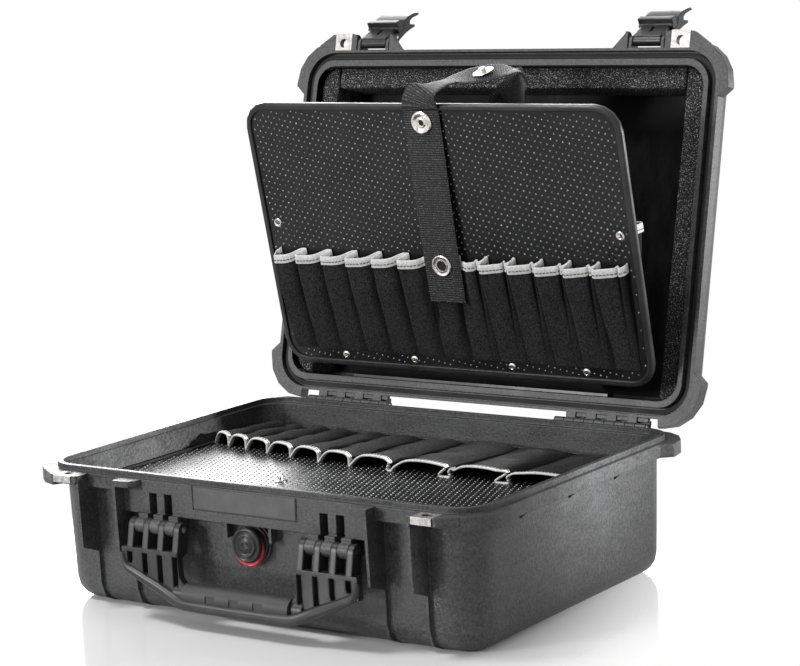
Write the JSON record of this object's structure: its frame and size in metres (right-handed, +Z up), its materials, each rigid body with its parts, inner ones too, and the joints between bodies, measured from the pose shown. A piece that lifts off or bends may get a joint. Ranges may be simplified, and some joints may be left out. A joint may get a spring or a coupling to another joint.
{
  "type": "hard chef knife case",
  "caption": "Hard moulded carrying case for a chef's knives: hinged lid with latches, folding handle, purge valve, and boards of knife pockets in lid and base.",
  "frame": {"origin": "centre of the flat resting face under the base", "axes": "+X along the front to the right as seen from the front, +Y from the front to the hinges, +Z up"},
  "size_m": [0.495, 0.5248, 0.5038],
  "materials": {
    "moulded_plastic": "moulded, fine matt grain",
    "grip_rubber": "soft overmoulded grip",
    "steel": "satin steel",
    "red_rubber": "smooth red seal",
    "seal_rubber": "matt black rubber",
    "foam": "closed-cell foam, open skin",
    "board_plastic": "glossy black sheet with fine dots",
    "pocket_cloth": "woven nylon cloth",
    "binding_tape": "grey folded tape, stitched",
    "webbing": "flat woven webbing"
  },
  "bodies": {
    "base": {"base_shell": "moulded_plastic", "hinge_pin_left": "steel", "hinge_pin_right": "steel", "base_padlock_plate_left": "steel", "base_padlock_plate_right": "steel", "handle_pin_left": "steel", "handle_pin_right": "steel", "base_foam_front": "foam", "base_foam_back": "foam", "base_foam_left": "foam", "base_foam_right": "foam", "valve_body": "moulded_plastic", "valve_ring": "red_rubber"},
    "lid": {"lid_shell": "moulded_plastic", "lid_gasket": "seal_rubber", "lid_foam_top": "foam", "lid_foam_left": "foam", "lid_foam_right": "foam", "flap_anchor_strip": "board_plastic", "lid_board_flap": "seal_rubber", "strap_loop": "webbing", "strap_loop_stud": "steel", "lid_padlock_plate_left": "steel", "lid_padlock_plate_right": "steel", "latch_pin_left": "steel", "latch_pin_right": "steel"},
    "lid_board_set": {"lid_board": "board_plastic", "lid_board_trim": "seal_rubber", "lid_board_front_pockets": "pocket_cloth", "lid_board_front_binding": "binding_tape", "lid_board_back_pockets": "pocket_cloth", "lid_board_back_binding": "binding_tape", "flap_rivet_1": "steel", "flap_rivet_2": "steel", "flap_rivet_3": "steel", "flap_rivet_4": "steel", "lid_board_eyelet_left": "steel", "lid_board_eyelet_right": "steel", "strap_tail": "webbing", "strap_snap_cap": "steel", "strap_snap_socket": "steel"},
    "latch_left": {"latch_hook_left": "moulded_plastic", "lever_pin_left": "steel"},
    "lever_left": {"latch_lever_left": "moulded_plastic"},
    "latch_right": {"latch_hook_right": "moulded_plastic", "lever_pin_right": "steel"},
    "lever_right": {"latch_lever_right": "moulded_plastic"},
    "handle": {"handle_frame": "moulded_plastic", "handle_grip": "grip_rubber"},
    "base_board_set": {"base_board": "board_plastic", "base_board_trim": "seal_rubber", "base_board_pockets": "pocket_cloth", "base_board_binding": "binding_tape", "base_board_stud": "steel"},
    "valve_knob": {"valve_knob": "moulded_plastic"}
  },
  "joints": [
    {"name": "lid_hinge", "type": "hinge", "parent": "base", "child": "lid", "pos_m": [0, 0.1827, 0.1241], "axis": [-1, 0, 0], "range_deg": [-104, 0]},
    {"name": "lid_board_tilt", "type": "hinge", "parent": "lid", "child": "lid_board_set", "pos_m": [0, 0.211, 0.1215], "axis": [1, 0, 0], "range_deg": [-25.7, 0], "deforming": ["lid_board_flap", "strap_loop", "strap_loop_stud"]},
    {"name": "latch_left_swing", "type": "hinge", "parent": "lid", "child": "latch_left", "pos_m": [-0.157, 0.27593, 0.47569], "axis": [-1, 0, 0], "range_deg": [-140, 0]},
    {"name": "latch_left_lever", "type": "hinge", "parent": "latch_left", "child": "lever_left", "pos_m": [-0.157, 0.28783, 0.48094], "axis": [-1, 0, 0], "range_deg": [0, 40]},
    {"name": "latch_right_swing", "type": "hinge", "parent": "lid", "child": "latch_right", "pos_m": [0.157, 0.27593, 0.47569], "axis": [-1, 0, 0], "range_deg": [-140, 0]},
    {"name": "latch_right_lever", "type": "hinge", "parent": "latch_right", "child": "lever_right", "pos_m": [0.157, 0.28783, 0.48094], "axis": [-1, 0, 0], "range_deg": [0, 40]},
    {"name": "handle_swing", "type": "hinge", "parent": "base", "child": "handle", "pos_m": [0, -0.179, 0.084], "axis": [-1, 0, 0], "range_deg": [0, 90]},
    {"name": "base_board_lift", "type": "slide", "parent": "base", "child": "base_board_set", "axis": [0, 0, 1], "range_m": [0, 0.1]},
    {"name": "valve_turn", "type": "hinge", "parent": "base", "child": "valve_knob", "pos_m": [0, -0.172, 0.076], "axis": [0, -1, 0], "range_deg": [0, 180]}
  ],
  "couplings": [
    {"joint": "lid_board_tilt", "follows": "lid_hinge", "ratio": 0.24711}
  ]
}
